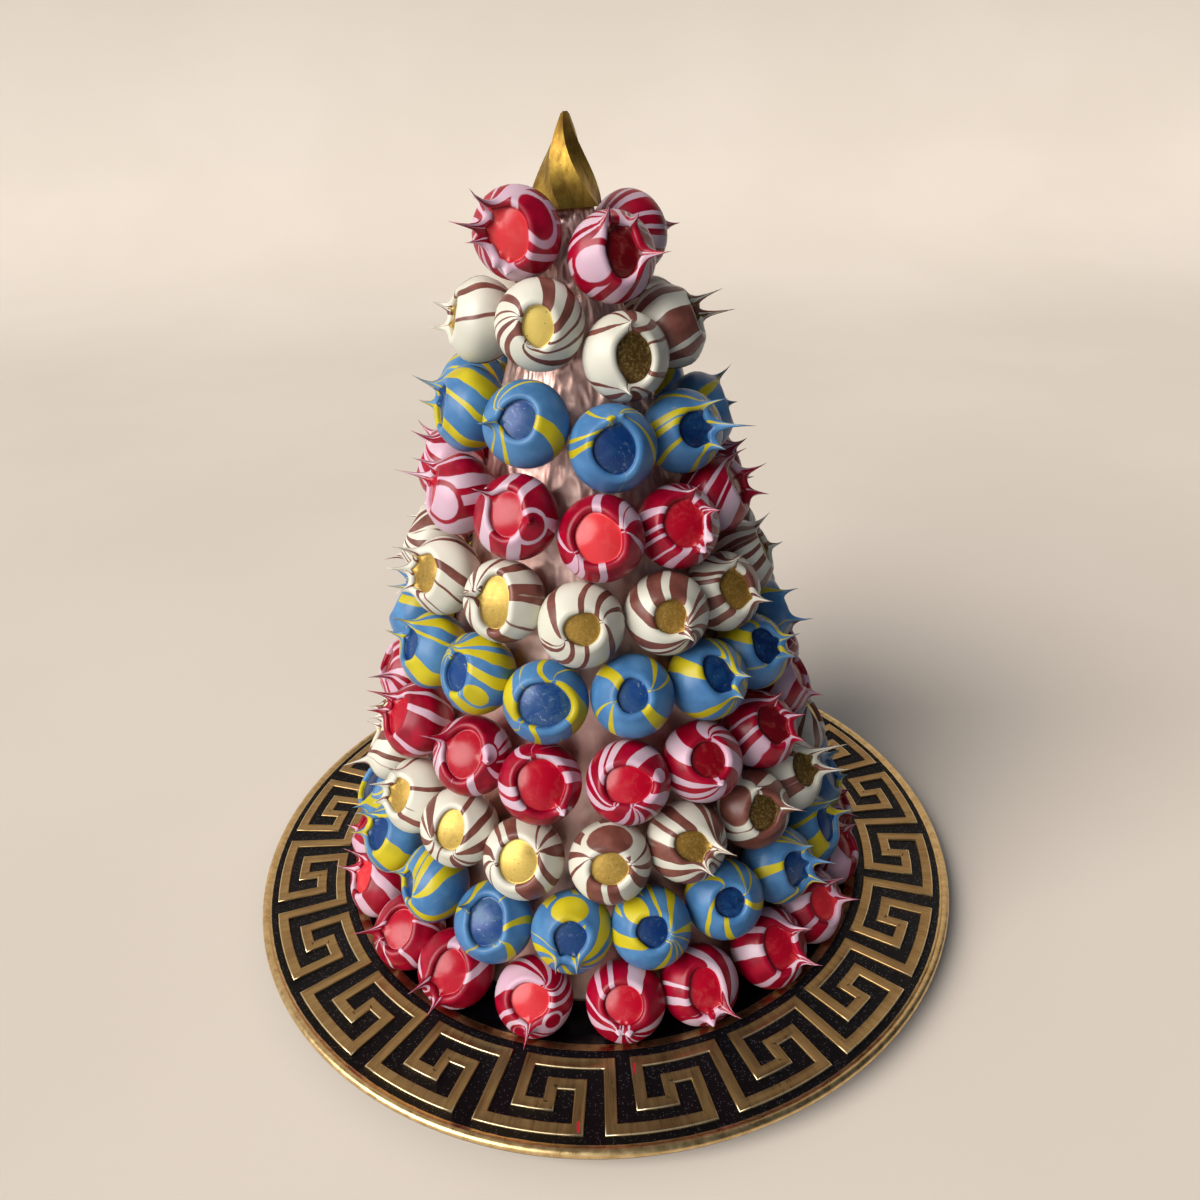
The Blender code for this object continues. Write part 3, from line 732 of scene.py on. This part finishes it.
def brown_material():
    """Milk brown and ivory marbling round a window dusted with gold, its tone partly painted shade and
    light.
    """
    s = Shader("brown_marbled_chocolate")
    light, floor, tone = marbling(s)
    dark = s.mix(s.ramp(s.noise(160, 3), 0.35, 0.7), (110, 62, 52), (136, 82, 70))
    pale = s.mix(s.ramp(s.noise(60, 1), 0.35, 0.65), (216, 212, 194), (226, 222, 206))
    shell = s.mix(light, dark, pale)
    # Painted shade and light: dark olive tones were given to windows in shade and bright gold to lit
    # ones, besides real differences
    gold = s.mix(s.ramp(tone, 0.0, 0.45), (84, 60, 18), (158, 118, 44))
    gold = s.mix(s.ramp(tone, 0.45, 1.0), gold, (232, 204, 108))
    grain = s.noise(900, 4, 0.7)
    shade = s.mix(0.45, gold, (70, 44, 14))
    gold = s.mix(s.ramp(s.noise(90, 3, distortion=0.5), 0.5, 0.7, 0, 0.6), gold, shade)
    bright = s.mix(0.3, gold, (240, 214, 134))
    gold = s.mix(s.ramp(grain, 0.45, 0.7, 0, 0.8), gold, bright)
    spots, _ = s.cells(520)
    gold = s.mix(s.ramp(spots, 0.08, 0.18, 0.6, 0), gold, (84, 58, 22))
    s.set(Base_Color=s.mix(floor, shell, gold), Metallic=s.math("MULTIPLY", floor, 0.5))
    s.set(Roughness=s.ramp(floor, 0, 1, 0.34, 0.42), Specular_IOR_Level=0.4)
    s.set(Subsurface_Weight=0.06, Subsurface_Scale=0.002)
    s.bump(s.math("MULTIPLY", grain, s.ramp(floor, 0, 1, 0.25, 1)), 0.2, 0.0002)
    return s.material


def blue_material():
    """Sky blue and yellow marbling round a pearly deep blue window, whose whitish streaks are partly
    painted sheen and whose tone is partly painted shade and light.
    """
    s = Shader("blue_marbled_chocolate")
    light, floor, tone = marbling(s)
    dark = s.mix(s.ramp(s.noise(120, 2), 0.35, 0.7), (66, 116, 166), (84, 136, 184))
    pale = s.mix(s.ramp(s.noise(90, 1), 0.35, 0.65), (190, 172, 20), (208, 190, 32))
    shell = s.mix(light, dark, pale)
    # Painted shade and light: deep blues were given to windows in shade and brighter ones to lit
    # windows, besides real differences
    deep = s.mix(s.ramp(tone, 0.0, 0.6), (2, 30, 76), (18, 62, 126))
    bright = s.mix(s.ramp(tone, 0.3, 1.0), (24, 66, 112), (66, 100, 136))
    pearl = s.mix(s.ramp(s.noise(110, 4, 0.6, distortion=1.2), 0.38, 0.66), deep, bright)
    # Whitish streaks, partly scuffs and partly a painted sheen, stronger on brighter windows
    scuffs_and_sheen = s.noise(210, 5, 0.7, distortion=2.5)
    shine = s.ramp(tone, 0.0, 1.0, 0.25, 0.75)
    pearl = s.mix(s.math("MULTIPLY", s.ramp(scuffs_and_sheen, 0.57, 0.70), shine), pearl, (150, 168, 192))
    s.set(Base_Color=s.mix(floor, shell, pearl), Metallic=s.math("MULTIPLY", floor, 0.08))
    s.set(Roughness=s.ramp(floor, 0, 1, 0.36, 0.28), Specular_IOR_Level=0.36)
    s.set(Subsurface_Weight=0.05, Subsurface_Scale=0.002)
    s.bump(s.noise(420, 3), 0.12, 0.0002)
    return s.material


def foil_material():
    """Satin rose-gold foil."""
    s = Shader("rose_gold_foil")
    grain = s.noise(60, 5, 0.6, vector=s.stretch((1, 1, 0.35)), distortion=0.4)
    tone = s.mix(s.ramp(grain, 0.3, 0.7), (218, 172, 162), (248, 214, 203))
    tone = s.mix(s.ramp(s.noise(500, 3), 0.45, 0.7, 0, 0.2), tone, (240, 210, 198))
    s.set(Base_Color=tone, Metallic=0.95, Roughness=s.ramp(grain, 0.3, 0.7, 0.42, 0.54))
    s.bump(s.noise(260, 4, 0.6, vector=s.stretch((1, 1, 0.5))), 0.3, 0.0004)
    return s.material


def tip_material():
    """Antique gold, brushed and worn darker in places."""
    s = Shader("antique_gold_tip")
    streaks = s.noise(300, 4, 0.65, vector=s.stretch((1, 1, 0.3)), distortion=0.3)
    blotch = s.noise(110, 3)
    tone = s.mix(s.ramp(streaks, 0.3, 0.7), (132, 102, 42), (186, 152, 68))
    tone = s.mix(s.ramp(blotch, 0.45, 0.7, 0, 0.6), tone, (112, 78, 34))
    tone = s.mix(s.ramp(s.noise(700, 4, 0.7), 0.5, 0.7, 0, 0.35), tone, (92, 66, 28))
    s.set(Base_Color=tone, Metallic=0.96, Roughness=s.ramp(streaks, 0.3, 0.7, 0.56, 0.46))
    s.bump(streaks, 0.25, 0.0002)
    return s.material


# Two red specks of chocolate on the flange: x, y and half length, in metres
SPECKS = ((-0.0138, -0.1540, 0.0017), (0.0078, -0.1318, 0.0018))
SPECK_RED = (200, 24, 54)

# The plate's colours by radius, the height above which its top side lies, the height above which its
# rolled rim is gold and below which it is black, and half the width over which one colour passes into
# another
GOLD_RING = (0.1188, 0.1230)
BLACK_FLANGE = (0.1233, 0.1608)
TOP_SIDE = 0.0066
ROLLED_RIM = 0.0096
BLEED = 0.0001


def specks(s, x, y):
    """Mask of the red specks, which run towards the rim."""
    mask = 0.0
    for spot_x, spot_y, half in SPECKS:
        across = s.math("SUBTRACT", x, spot_x)
        along = s.math("SUBTRACT", s.math("ABSOLUTE", s.math("SUBTRACT", y, spot_y)), half)
        along = s.math("MAXIMUM", along, 0.0)
        mask = s.math("MAXIMUM", mask, s.ramp(s.length(across, along), 0.0004, 0.0006, 1, 0))
    return mask


def lacquer_material():
    """The plate: gloss black with glitter on the flange, and gold rings by radius, the rolled rim gold
    only on its upper part.
    """
    s = Shader("black_lacquer_and_gold_rings")
    x, y, z = s.split(s.place)
    wobble = s.math("MULTIPLY_ADD", s.noise(300, 2), 0.0004, -0.0002)
    radius = s.math("ADD", s.length(x, y), wobble)

    def beyond(limit):
        return s.ramp(radius, limit - BLEED, limit + BLEED)

    def band(low, high):
        return s.math("MULTIPLY", beyond(low), s.math("SUBTRACT", 1.0, beyond(high)))

    above = s.ramp(z, TOP_SIDE, TOP_SIDE + BLEED)
    # The rolled rim is gold above ROLLED_RIM and black below it
    rim = s.math("MULTIPLY", beyond(BLACK_FLANGE[1]), s.ramp(z, ROLLED_RIM, ROLLED_RIM + 3 * BLEED))
    gold = s.math("MAXIMUM", s.math("MULTIPLY", band(*GOLD_RING), above), rim)
    ground = s.math("MULTIPLY", band(*BLACK_FLANGE), above)
    distance, colour = s.cells(1500)
    pick = s.split(colour)[0]
    fleck = s.math("MULTIPLY", s.ramp(distance, 0.22, 0.34, 1, 0), s.ramp(pick, 0.72, 0.80))
    fleck = s.math("MULTIPLY", fleck, ground)
    black = s.mix(s.noise(200, 3), (3, 3, 6), (9, 9, 14))
    black = s.mix(fleck, black, (128, 122, 126))
    brush = s.noise(260, 4, 0.6)
    brass = s.mix(s.ramp(brush, 0.3, 0.7), (192, 160, 108), (228, 198, 144))
    speck = specks(s, x, y)
    tone = s.mix(speck, s.mix(gold, black, brass), SPECK_RED)
    shine = s.math("MAXIMUM", gold, s.math("MULTIPLY", fleck, 0.7))
    s.set(Base_Color=tone, Metallic=s.math("MULTIPLY", shine, s.ramp(speck, 0, 1, 1, 0)))
    rough = s.ramp(ground, 0, 1, 0.16, 0.5)
    s.set(Roughness=s.mix(gold, rough, s.ramp(brush, 0.3, 0.7, 0.26, 0.38)), Specular_IOR_Level=0.2)
    s.bump(s.math("MULTIPLY", distance, ground), 0.3, 0.0002)
    return s.material


def key_material():
    """The key's brushed brass, with a painted highlight along its edges."""
    s = Shader("brushed_brass_key")
    edge = s.attribute("edge")[0]
    x, y, _ = s.split(s.place)
    around = s.math("MULTIPLY", s.math("ARCTAN2", y, x), 0.6)
    outwards = s.math("MULTIPLY", s.length(x, y), 0.4)
    brush = s.noise(120, 5, 0.7, vector=s.add("CombineXYZ", around, outwards)[0])
    blotch = s.noise(45, 3)
    tone = s.mix(s.ramp(brush, 0.35, 0.65), (152, 122, 78), (180, 148, 98))
    tone = s.mix(s.ramp(blotch, 0.45, 0.7, 0, 0.4), tone, (128, 92, 62))
    # Painted highlight: the edges, in full on the band's outer side, are mixed towards pale cream
    tone = s.mix(s.ramp(edge, 0.2, 0.9), tone, (232, 210, 164))
    speck = specks(s, x, y)
    s.set(Base_Color=s.mix(speck, tone, SPECK_RED), Metallic=s.ramp(speck, 0, 1, 0.9, 0))
    s.set(Roughness=s.ramp(brush, 0.3, 0.7, 0.26, 0.40))
    s.bump(brush, 0.15, 0.0001)
    return s.material


# ---------------- plate, foil and tip


def polar(radius, angle, height):
    """A point by radius, angle in degrees and height."""
    turn = math.radians(angle)
    return (radius * math.cos(turn), radius * math.sin(turn), height)


def object_from(name, points, faces, material):
    """A smooth mesh object with one material."""
    mesh = bpy.data.meshes.new(name)
    mesh.from_pydata([tuple(p) for p in points], [], [tuple(f) for f in faces])
    mesh.materials.append(material)
    mesh.shade_smooth()
    made = bpy.data.objects.new(name, mesh)
    bpy.context.scene.collection.objects.link(made)
    return made


def loft(rings, closed=False):
    """Points and faces between rings of equal length, capped unless the last meets the first."""
    count, sides = len(rings), len(rings[0])
    points = [p for ring in rings for p in ring]
    faces = []
    for i in range(count if closed else count - 1):
        a, b = i * sides, (i + 1) % count * sides
        faces += [(a + j, a + (j + 1) % sides, b + (j + 1) % sides, b + j) for j in range(sides)]
    if not closed:
        for first, flip in ((0, 1), ((count - 1) * sides, -1)):
            middle = tuple(np.mean(points[first : first + sides], 0))
            points.append(middle)
            hub = len(points) - 1
            faces += [(hub, first + (j + 1) % sides, first + j)[::flip] for j in range(sides)]
    return points, faces


def rounded(profile, radius, steps=3):
    """A profile with its inner corners rounded."""
    out = [profile[0]]
    for before, corner, after in zip(profile, profile[1:], profile[2:]):
        a, c, b = (np.array(p, float) for p in (before, corner, after))
        reach = min(radius, 0.45 * np.linalg.norm(a - c), 0.45 * np.linalg.norm(b - c))
        start, end = (c + (p - c) / np.linalg.norm(p - c) * reach for p in (a, b))
        for i in range(steps + 1):
            t = i / steps
            out.append(tuple((1 - t) ** 2 * start + 2 * t * (1 - t) * c + t**2 * end))
    return [*out, profile[-1]]


# The plate: radius of the flat caps in its middle, points on the roll, points round it, roundings
HUB_RADIUS = 0.020
ROLL_POINTS = 14
PLATE_SIDES = 240
TOP_ROUNDING, LOW_ROUNDING = 0.0012, 0.0006


def plate_profile():
    """The plate's section, as the solid's with its corners rounded and a finer roll."""
    floor = RIM_HEIGHT - WELL_DEPTH
    ground = RIM_HEIGHT - GROUND_DROP
    roll_radius, roll_height = PLATE_RADIUS - RIM_ROLL, RIM_HEIGHT - RIM_ROLL
    start = math.pi - math.asin((ground - roll_height) / RIM_ROLL)
    turns = np.linspace(start, -math.pi / 2, ROLL_POINTS)
    roll = [(roll_radius + RIM_ROLL * math.cos(t), roll_height + RIM_ROLL * math.sin(t)) for t in turns]
    underside = floor - SHEET
    top = [
        (HUB_RADIUS, floor),
        (WELL_FLAT_RADIUS, floor),
        (WELL_BEND_RADIUS, floor + WELL_BEND_RISE),
        (WALL_TOP_RADIUS, ground),
        roll[0],
    ]
    below = [
        roll[-1],
        (WALL_TOP_RADIUS, ground - SHEET),
        (WELL_FLAT_RADIUS, underside),
        (FOOT_RADIUS + FOOT_DRAFT, underside),
        (FOOT_RADIUS, 0),
        (FOOT_RADIUS - FOOT_WIDTH, 0),
        (FOOT_RADIUS - FOOT_WIDTH - FOOT_DRAFT, underside),
        (HUB_RADIUS, underside),
    ]
    return [*rounded(top, TOP_ROUNDING)[:-1], *roll, *rounded(below, LOW_ROUNDING, 2)[1:]]


def key_bend(before, corner, after):
    """Offset of the band's inner edge at a corner, in half bands along the round and the radius."""
    lead = (corner[0] - before[0], corner[1] - before[1])
    leave = (after[0] - corner[0], after[1] - corner[1])
    left = [np.array((-d[1], d[0])) / math.hypot(*d) for d in (lead, leave)]
    straight = float(np.dot(left[0], left[1])) > 0.5
    return left[0] if straight else left[0] + left[1]


# Half of the band's section, from its foot to its middle: distance from the middle as a share of half
# its width, height above the ground, and how much painted highlight its edge takes
HALF_SECTION = (
    (1.0, -0.0003, 0),
    (1.0, 0.0003, 0.3),
    (0.93, 0.0007, 1),
    (0.82, KEY_RISE, 1),
    (0.72, 0.00072, 0),
)
KEY_SECTION = (*[(-a, b, c) for a, b, c in HALF_SECTION], (0.0, 0.0007, 0), *HALF_SECTION[::-1])

# Pieces in a cell's length round the plate, and share of a radial run over which its edge's painted
# highlight fades from the corner
KEY_PIECES = 3
KEY_FADE = 0.1


def key_stops():
    """The key's path, cut into short pieces round the plate so that it follows the circle."""
    corners = [(u + KEY_CELLS * k, v) for k in range(KEY_UNITS) for u, v in KEY_PATH]
    corners.append((KEY_UNITS * KEY_CELLS, KEY_PATH[0][1]))
    stops = []
    for (u0, v0), (u1, v1) in zip(corners, corners[1:]):
        pieces = round(abs(u1 - u0) * KEY_PIECES)
        shares = [i / pieces for i in range(pieces)] or [0, KEY_FADE, 1 - KEY_FADE]
        stops += [(u0 + (u1 - u0) * i, v0 + (v1 - v0) * i) for i in shares]
    return stops


def make_key(material):
    """The Greek key as one closed band with bevelled edges."""
    row = (KEY_OUTER - KEY_INNER - KEY_BAND) / KEY_ROWS
    period = KEY_UNITS * KEY_CELLS
    ground = RIM_HEIGHT - GROUND_DROP
    stops = key_stops()
    padded = [(stops[-1][0] - period, stops[-1][1]), *stops, (stops[0][0] + period, stops[0][1])]
    rings, edge_highlights = [], []
    for before, (u, v), after in zip(padded, stops, padded[2:]):
        bend = key_bend(before, (u, v), after) * KEY_BAND / 2
        ring = []
        for side, rise, edge in KEY_SECTION:
            radius = KEY_OUTER - KEY_BAND / 2 - row * v - side * bend[1]
            angle = KEY_START + 360 * u / period + math.degrees(side * bend[0] / radius)
            ring.append(polar(radius, angle, ground + rise))
            # Painted highlight on the edges: full on the band's outer side, a fifth on its inner side
            facing = side * bend[1] < 0
            edge_highlights.append(edge * (1.0 if facing else 0.2))
        rings.append(ring)
    made = object_from("greek_key", *loft(rings, closed=True), material)
    layer = made.data.attributes.new("edge", "FLOAT_VECTOR", "POINT")
    layer.data.foreach_set("vector", np.repeat(np.array(edge_highlights, np.float32), 3))
    made.data.set_sharp_from_angle(angle=math.radians(50))
    return made


def make_plate():
    """The plate and its key."""
    angles = [360 * i / PLATE_SIDES for i in range(PLATE_SIDES)]
    rings = [[polar(r, a, z) for a in angles] for r, z in plate_profile()]
    points, faces = loft(rings)
    plate = object_from("charger", points, [f[::-1] for f in faces], lacquer_material())
    key = make_key(key_material())
    for piece in (plate, key):
        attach(piece, "root")
        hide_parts("charger_plate")


# The foil: points round it and levels, and how far it stands in and out of the cone. Its creases
# grow from a share of their depth below to all of it over a stretch of height.
FOIL_SIDES, FOIL_LEVELS = 260, 240
FOIL_INSET, FOIL_PROUD = 0.0002, 0.0003
CREASE_LEAST = 0.12
CREASE_FROM, CREASE_STRETCH = 0.12, 0.16


def crumple(x, y, z):
    """How far the foil's creases push it out at a place on the cone."""
    wide = noise.noise((x * 55, y * 55, z * 22))
    crease = 1 - abs(noise.noise((x * 170, y * 170, z * 48 + 9)))
    fine = 1 - abs(noise.noise((x * 330, y * 330, z * 150 + 3)))
    folds = 0.0022 * (crease**5 - 0.55) + 0.0010 * (fine**4 - 0.55)
    near_top = max(0.0, min(1.0, (z - CREASE_FROM) / CREASE_STRETCH))
    return 0.0007 * wide + (CREASE_LEAST + (1 - CREASE_LEAST) * near_top) * folds


def make_foil():
    """The foil cone, creased more towards its top."""
    low, high = -WELL_DEPTH + CORE_GAP, TIP_BASE - CORE_GAP
    rings = []
    for i in range(FOIL_LEVELS + 1):
        height = low + (high - low) * i / FOIL_LEVELS
        radius = core_radius(height)
        ring = []
        for j in range(FOIL_SIDES):
            angle = 360 * j / FOIL_SIDES
            push = crumple(*polar(radius, angle, height))
            reach = radius + min(FOIL_PROUD, push) - FOIL_INSET
            x, y, z = polar(reach, angle, height + RIM_HEIGHT)
            ring.append((x + LEAN * height, y, z))
        rings.append(ring)
    foil = object_from("foil_wrap", *loft(rings), foil_material())
    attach(foil, "root")
    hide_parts("foil_cone")


# The tip: points round it and levels, how hollow its faces are, and the share of its height from
# which the point is rounded off, by a share of its radius
TIP_SIDES, TIP_LEVELS = 120, 40
TIP_HOLLOW = 0.02
TIP_BLUNT_FROM, TIP_BLUNT = 0.97, 0.35


def make_tip():
    """The gold tip: six twisted ridges, nearly flat faces between them and a blunt point."""
    half = math.pi / TIP_FLUTES
    rings = []
    for i in range(TIP_LEVELS + 1):
        share = i / TIP_LEVELS
        body = TIP_RADIUS * (1 - share) + TIP_POINT * share
        if share > TIP_BLUNT_FROM:
            body *= 1 - ((share - TIP_BLUNT_FROM) / (1 - TIP_BLUNT_FROM)) ** 2 * TIP_BLUNT
        height = TIP_BASE + TIP_HEIGHT * share
        ring = []
        for j in range(TIP_SIDES):
            angle = 360 * j / TIP_SIDES
            away = abs((angle * TIP_FLUTES / 360 + 0.5) % 1 - 0.5) * 2
            face = math.cos(half) / math.cos(half * (1 - away)) - TIP_HOLLOW * away
            turned = angle + TIP_START + TIP_TWIST * share
            x, y, z = polar(body * face, turned, height + RIM_HEIGHT)
            ring.append((x + LEAN * height + TIP_SWAY * share, y, z))
        rings.append(ring)
    tip = object_from("twisted_tip", *loft(rings), tip_material())
    tip.data.set_sharp_from_angle(angle=math.radians(35))
    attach(tip, "root")
    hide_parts("gold_tip")


def make_bonbons():
    """Every run of bonbons as one piece that stands for its solid."""
    materials = {"red": red_material(), "brown": brown_material(), "blue": blue_material()}
    ring, run, turn, centres, size, looks = arrange()
    draw = random.Random(SEED + 1)
    for number in range(run.max() + 1):
        members = np.flatnonzero(run == number)
        row = ring[members[0]]
        colour = RINGS[row][0]
        letter = "abcdefghi"[number - run[ring == row].min()]
        kind = "bonbons" if len(members) > 1 else "bonbon"
        node = f"row{row + 1:02d}_{colour}_{kind}_{letter}"
        parts = []
        for i in members:
            plain = (LIGHT_SHARE[colour] + draw.uniform(-LIGHT_SPREAD, LIGHT_SPREAD), draw.random())
            entry = (row, int(i - np.flatnonzero(ring == row)[0]))
            share, tone = dict(enumerate(TRAITS[row])).get(entry[1]) or plain
            trait = (share, tone, DRIPS.get(entry, ()), PATCHES.get(entry))
            seed = SEED * 1000 + int(i)
            parts.append(bonbon_mesh(centres[i], size[i], turn[i], looks[i], trait, seed))
        piece = join_meshes(f"{node}_marbled", parts, materials[colour])
        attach(piece, "root")
        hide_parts(node)


# ---------------- floor, light and camera


def make_floor():
    """A plain pale floor that curves up far behind."""
    s = Shader("pale_floor")
    tone = s.mix(s.ramp(s.noise(3, 3), 0.35, 0.65), (236, 222, 206), (240, 226, 211))
    s.set(Base_Color=tone, Roughness=0.75)
    profile = [(-3, 0), (1.1, 0), (1.5, 0.06), (1.75, 0.25), (1.85, 0.6), (1.9, 4)]
    points = [(x, y, z) for y, z in profile for x in (-4, 4)]
    faces = [(2 * i, 2 * i + 1, 2 * i + 3, 2 * i + 2) for i in range(len(profile) - 1)]
    floor = object_from("floor", points, faces, s.material)
    floor.visible_diffuse = False  # the pyramid's far side stays in shade


def make_sky():
    """A pale world that darkens to the right."""
    world = bpy.data.worlds.new("studio")
    bpy.context.scene.world = world
    world.use_nodes = True
    nodes, links = world.node_tree.nodes, world.node_tree.links
    split = nodes.new("ShaderNodeSeparateXYZ")
    links.new(nodes.new("ShaderNodeTexCoord").outputs["Generated"], split.inputs[0])
    side = nodes.new("ShaderNodeMapRange")
    links.new(split.outputs[0], side.inputs["Value"])
    side.inputs["From Min"].default_value = -0.9
    side.inputs["From Max"].default_value = 0.35
    sky = nodes.new("ShaderNodeValToRGB")
    links.new(side.outputs[0], sky.inputs[0])
    sky.color_ramp.elements[0].color = (0.86, 0.88, 0.90, 1)
    sky.color_ramp.elements[1].color = (0.10, 0.12, 0.16, 1)
    background = nodes["Background"]
    background.inputs["Strength"].default_value = 0.54
    links.new(sky.outputs[0], background.inputs["Color"])


# Where the lights point
AIM = Vector((0, 0, 0.15))


def add_light(name, kind, spot, power, spread, tint):
    """A soft light that shines on the pyramid; the spread is a width, or the sun's angle."""
    lamp = bpy.data.lights.new(name, kind)
    lamp.energy = power
    lamp.color = tint
    if kind == "SUN":
        lamp.angle = spread
    else:
        lamp.size = spread
    made = bpy.data.objects.new(name, lamp)
    made.location = spot
    made.rotation_euler = (AIM - Vector(spot)).to_track_quat("-Z", "Y").to_euler()
    bpy.context.scene.collection.objects.link(made)


# The camera: focal length over image width, distance, and elevation, pan, tilt and roll in radians
FOCAL_SHARE = 941.849 / 1200
CAMERA_DISTANCE = 0.488683
CAMERA_ELEVATION = 0.7279
CAMERA_PAN, CAMERA_TILT, CAMERA_ROLL = 0.0079, -0.2408, 0.0472


def make_camera():
    """The camera at the picture's viewpoint, on an arc about the middle of the rim."""
    camera = bpy.data.cameras.new("camera")
    camera.lens = camera.sensor_width * FOCAL_SHARE
    camera.clip_start = 0.01
    made = bpy.data.objects.new("camera", camera)
    bpy.context.scene.collection.objects.link(made)
    arc = Matrix.Rotation(math.pi / 2 - CAMERA_ELEVATION, 4, "X")
    place = Matrix.Translation((0, 0, RIM_HEIGHT)) @ arc @ Matrix.Translation((0, 0, CAMERA_DISTANCE))
    pan = Matrix.Rotation(-CAMERA_PAN, 4, "Y")
    tilt = Matrix.Rotation(-CAMERA_TILT, 4, "X")
    roll = Matrix.Rotation(-CAMERA_ROLL, 4, "Z")
    made.matrix_world = place @ pan @ tilt @ roll
    bpy.context.scene.camera = made


def main():
    """Builds the scene."""
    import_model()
    make_camera()
    make_plate()
    make_foil()
    make_tip()
    make_bonbons()
    make_floor()
    make_sky()
    add_light("key_light", "SUN", (-0.85, -0.62, 0.85), 3.5, 0.8, (1, 0.97, 0.93))
    add_light("front_light", "AREA", (-0.3, -1.3, 0.25), 1.2, 0.8, (1, 0.98, 0.96))
    bpy.context.scene.view_settings.view_transform = "Standard"


main()
